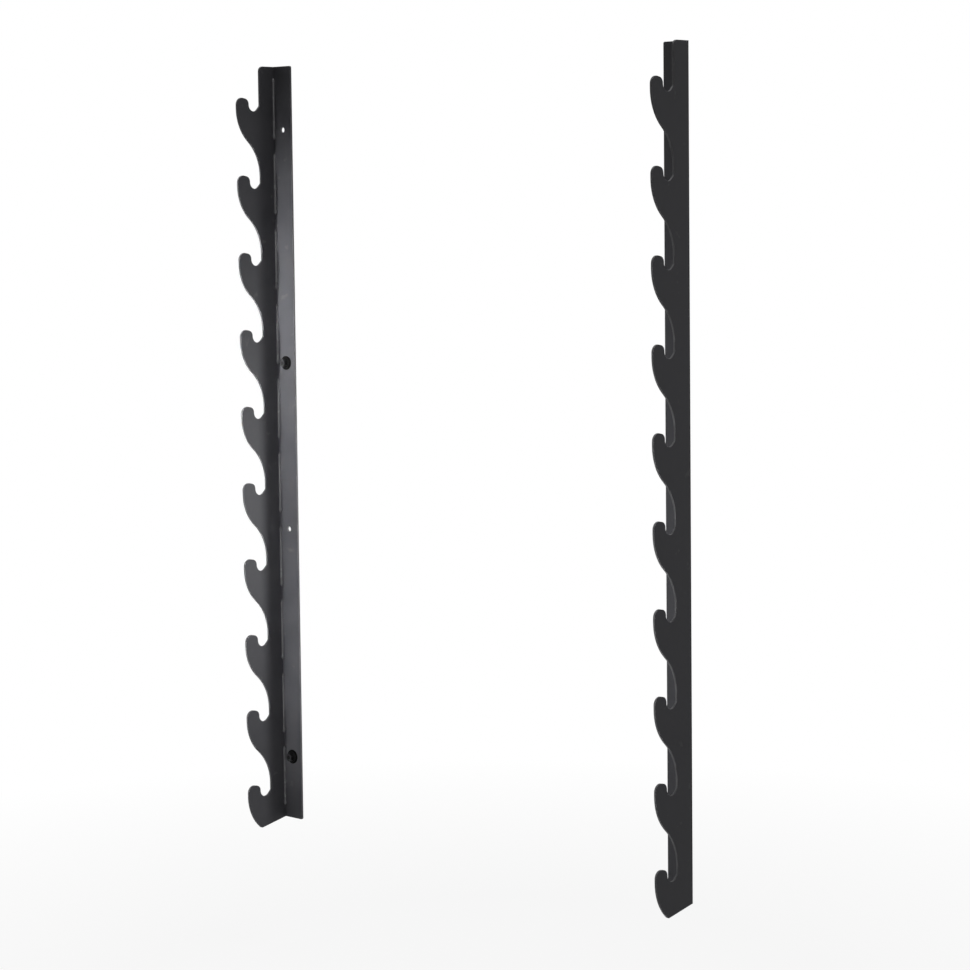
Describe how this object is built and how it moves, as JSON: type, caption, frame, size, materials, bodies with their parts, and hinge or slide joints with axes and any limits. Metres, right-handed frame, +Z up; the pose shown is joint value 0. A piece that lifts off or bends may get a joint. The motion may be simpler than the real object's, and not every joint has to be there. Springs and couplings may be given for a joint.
{
  "type": "barbell storage rack",
  "caption": "Wall-mounted gun rack for barbells: a mirrored pair of flat steel uprights with upward hooks, welded wall flanges and bolts.",
  "frame": {"origin": "on the wall plane, midway between the two uprights, at the level of the hook plates' lowest corner", "axes": "+Z up along the uprights; +Y into the wall, so the hooks point along -Y; +X to the right as seen by someone facing the wall"},
  "size_m": [1.29, 0.125, 1.8693],
  "materials": {
    "powder_coat": "satin black powder coat with a fine orange-peel texture",
    "weld_bead": "rippled weld bead under the same powder coat",
    "bolt_steel": "black oxide, rubbed a little lighter on the front of the head",
    "washer_steel": "black oxide, matt"
  },
  "bodies": {
    "root": {"left_hook_plate": "powder_coat", "left_wall_flange": "powder_coat", "left_stitch_weld_1": "weld_bead", "left_stitch_weld_2": "weld_bead", "left_stitch_weld_3": "weld_bead", "left_stitch_weld_4": "weld_bead", "left_stitch_weld_5": "weld_bead", "left_stitch_weld_6": "weld_bead", "left_stitch_weld_7": "weld_bead", "left_stitch_weld_8": "weld_bead", "left_stitch_weld_9": "weld_bead", "left_stitch_weld_10": "weld_bead", "left_upper_washer": "washer_steel", "left_upper_bolt": "bolt_steel", "left_lower_washer": "washer_steel", "left_lower_bolt": "bolt_steel", "right_hook_plate": "powder_coat", "right_wall_flange": "powder_coat", "right_stitch_weld_1": "weld_bead", "right_stitch_weld_2": "weld_bead", "right_stitch_weld_3": "weld_bead", "right_stitch_weld_4": "weld_bead", "right_stitch_weld_5": "weld_bead", "right_stitch_weld_6": "weld_bead", "right_stitch_weld_7": "weld_bead", "right_stitch_weld_8": "weld_bead", "right_stitch_weld_9": "weld_bead", "right_stitch_weld_10": "weld_bead", "right_upper_washer": "washer_steel", "right_upper_bolt": "bolt_steel", "right_lower_washer": "washer_steel", "right_lower_bolt": "bolt_steel"}
  },
  "joints": []
}
